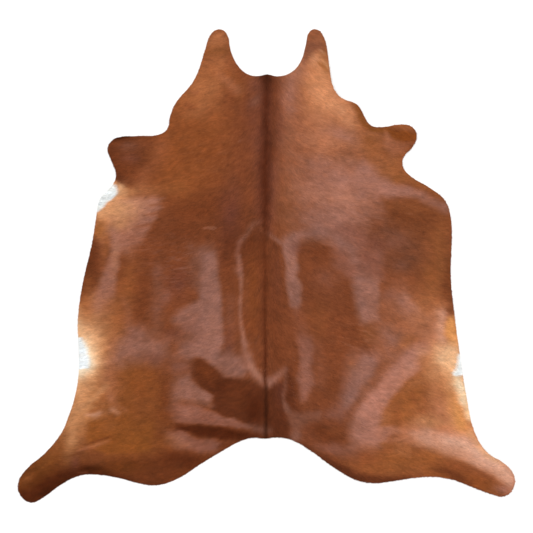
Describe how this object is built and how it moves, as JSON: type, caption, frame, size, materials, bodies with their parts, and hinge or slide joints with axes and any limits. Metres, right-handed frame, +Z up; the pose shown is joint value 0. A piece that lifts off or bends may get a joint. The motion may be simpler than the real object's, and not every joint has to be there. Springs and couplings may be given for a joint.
{
  "type": "cowhide rug",
  "caption": "Whole cowhide with the hair on, cut to the animal's outline and laid flat as a floor rug.",
  "frame": {"origin": "on the floor under the middle of the hide's bounding box", "axes": "+Z up, out of the hair side; +Y along the back towards the neck; +X towards the foreleg on the right, seen from above"},
  "size_m": [2.2068, 2.1013, 0.0159],
  "materials": {
    "hair_on_hide": "short glossy reddish-brown hair lying flat on undyed leather, dark along the back, with small white patches at the edge"
  },
  "bodies": {
    "root": {"hide": "hair_on_hide"}
  },
  "joints": []
}
